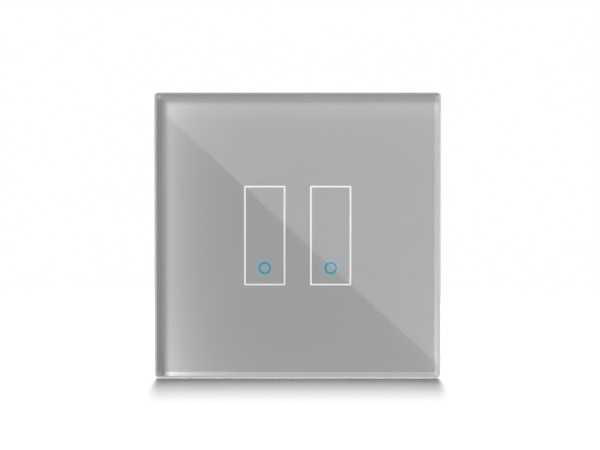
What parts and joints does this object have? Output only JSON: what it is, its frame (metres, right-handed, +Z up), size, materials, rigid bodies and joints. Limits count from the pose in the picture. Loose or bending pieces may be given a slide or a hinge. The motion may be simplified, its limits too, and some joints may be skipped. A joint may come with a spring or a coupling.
{
  "type": "touch light switch",
  "caption": "Square glass-fronted wall switch with two touch zones, snap-off front panel, steel mounting frame, rear housing with relays and rising-cage wire terminals.",
  "frame": {"origin": "middle of the box screw pattern, on the back face of the mounting frame, which lies on the wall", "axes": "+X to the right seen from the front, +Y into the wall, +Z up; the glass faces -Y"},
  "size_m": [0.086, 0.037, 0.086],
  "materials": {
    "glass": "clear float glass with polished edges",
    "grey_lacquer": "silver-grey lacquer printed on the back of the glass",
    "white_print": "white screen print",
    "blue_window": "translucent ink, lit blue from behind",
    "adhesive": "double-sided acrylic foam sheet",
    "carrier_plastic": "moulded light grey plastic",
    "zinc_steel": "zinc-plated sheet steel",
    "spring_steel": "bright spring steel",
    "housing_plastic": "moulded white self-extinguishing plastic",
    "cover_plastic": "moulded white plastic",
    "screw_steel": "zinc-plated screws",
    "board": "glass-fibre board with green solder mask",
    "clear_plastic": "clear moulded light guide",
    "lamp_body": "small surface-mounted lamp",
    "black_plastic": "black moulded plastic",
    "shield_tin": "tinned sheet",
    "ferrite": "dark sintered ferrite",
    "copper_wire": "enamelled copper wire",
    "capacitor_can": "sleeved aluminium can",
    "film_box": "yellow moulded box",
    "varistor_coat": "blue dipped coating",
    "relay_plastic": "blue moulded case",
    "relay_base_plastic": "black moulded base",
    "relay_iron": "plated soft iron",
    "bobbin_nylon": "natural nylon",
    "contact_metal": "copper alloy with silver contact",
    "terminal_plastic": "dark grey moulded plastic",
    "cage_steel": "zinc-plated steel cage",
    "tinned_brass": "tinned brass bar"
  },
  "bodies": {
    "wall_unit": {"mounting_frame": "zinc_steel", "panel_clips": "spring_steel", "rear_housing": "housing_plastic", "housing_screws": "screw_steel", "inner_cover": "cover_plastic", "touch_board": "board", "touch_springs": "spring_steel", "light_pipes": "clear_plastic", "indicator_lamps": "lamp_body", "touch_chip": "black_plastic", "radio_board": "board", "radio_shield": "shield_tin", "pin_header": "black_plastic", "pin_socket": "black_plastic", "power_board": "board", "board_screws": "screw_steel", "transformer_core": "ferrite", "transformer_winding": "copper_wire", "filter_capacitors": "capacitor_can", "film_capacitor": "film_box", "varistor": "varistor_coat", "fuse": "black_plastic", "left_relay_case": "relay_plastic", "left_relay_base": "relay_base_plastic", "left_relay_yoke": "relay_iron", "left_relay_bobbin": "bobbin_nylon", "left_relay_winding": "copper_wire", "left_relay_contact": "contact_metal", "right_relay_case": "relay_plastic", "right_relay_base": "relay_base_plastic", "right_relay_yoke": "relay_iron", "right_relay_bobbin": "bobbin_nylon", "right_relay_winding": "copper_wire", "right_relay_contact": "contact_metal", "terminal_1_housing": "terminal_plastic", "terminal_1_bar": "tinned_brass", "terminal_2_housing": "terminal_plastic", "terminal_2_bar": "tinned_brass", "terminal_3_housing": "terminal_plastic", "terminal_3_bar": "tinned_brass", "terminal_4_housing": "terminal_plastic", "terminal_4_bar": "tinned_brass"},
    "front_panel": {"glass_panel": "glass", "back_print": "grey_lacquer", "left_zone_outline": "white_print", "right_zone_outline": "white_print", "left_ring_window": "blue_window", "right_ring_window": "blue_window", "panel_adhesive": "adhesive", "panel_carrier": "carrier_plastic"},
    "left_armature": {"left_relay_armature": "relay_iron"},
    "right_armature": {"right_relay_armature": "relay_iron"},
    "clamp_screw_1": {"terminal_1_screw": "screw_steel"},
    "clamp_cage_1": {"terminal_1_cage": "cage_steel"},
    "clamp_screw_2": {"terminal_2_screw": "screw_steel"},
    "clamp_cage_2": {"terminal_2_cage": "cage_steel"},
    "clamp_screw_3": {"terminal_3_screw": "screw_steel"},
    "clamp_cage_3": {"terminal_3_cage": "cage_steel"},
    "clamp_screw_4": {"terminal_4_screw": "screw_steel"},
    "clamp_cage_4": {"terminal_4_cage": "cage_steel"}
  },
  "joints": [
    {"name": "panel_pull", "type": "slide", "parent": "wall_unit", "child": "front_panel", "axis": [0, -1, 0], "range_m": [0, 0.02]},
    {"name": "left_armature_swing", "type": "hinge", "parent": "wall_unit", "child": "left_armature", "pos_m": [-0.0161, 0.01994, 0.0031], "axis": [-1, 0, 0], "range_deg": [0, 3.3], "stiffness_Nm_per_rad": 0.01, "springref_deg": -2.86},
    {"name": "right_armature_swing", "type": "hinge", "parent": "wall_unit", "child": "right_armature", "pos_m": [0.0161, 0.01994, 0.0031], "axis": [-1, 0, 0], "range_deg": [0, 3.3], "stiffness_Nm_per_rad": 0.01, "springref_deg": -2.86},
    {"name": "clamp_screw_1_turn", "type": "hinge", "parent": "wall_unit", "child": "clamp_screw_1", "pos_m": [-0.0105, 0.0235, -0.01975], "axis": [0, -1, 0], "range_deg": [0, 2240]},
    {"name": "clamp_cage_1_rise", "type": "slide", "parent": "wall_unit", "child": "clamp_cage_1", "axis": [0, 1, 0], "range_m": [0, 0.0028]},
    {"name": "clamp_screw_2_turn", "type": "hinge", "parent": "wall_unit", "child": "clamp_screw_2", "pos_m": [-0.0035, 0.0235, -0.01975], "axis": [0, -1, 0], "range_deg": [0, 2240]},
    {"name": "clamp_cage_2_rise", "type": "slide", "parent": "wall_unit", "child": "clamp_cage_2", "axis": [0, 1, 0], "range_m": [0, 0.0028]},
    {"name": "clamp_screw_3_turn", "type": "hinge", "parent": "wall_unit", "child": "clamp_screw_3", "pos_m": [0.0035, 0.0235, -0.01975], "axis": [0, -1, 0], "range_deg": [0, 2240]},
    {"name": "clamp_cage_3_rise", "type": "slide", "parent": "wall_unit", "child": "clamp_cage_3", "axis": [0, 1, 0], "range_m": [0, 0.0028]},
    {"name": "clamp_screw_4_turn", "type": "hinge", "parent": "wall_unit", "child": "clamp_screw_4", "pos_m": [0.0105, 0.0235, -0.01975], "axis": [0, -1, 0], "range_deg": [0, 2240]},
    {"name": "clamp_cage_4_rise", "type": "slide", "parent": "wall_unit", "child": "clamp_cage_4", "axis": [0, 1, 0], "range_m": [0, 0.0028]}
  ],
  "couplings": [
    {"joint": "clamp_screw_1_turn", "follows": "clamp_cage_1_rise", "rad_per_m": 13963},
    {"joint": "clamp_screw_2_turn", "follows": "clamp_cage_2_rise", "rad_per_m": 13963},
    {"joint": "clamp_screw_3_turn", "follows": "clamp_cage_3_rise", "rad_per_m": 13963},
    {"joint": "clamp_screw_4_turn", "follows": "clamp_cage_4_rise", "rad_per_m": 13963}
  ]
}
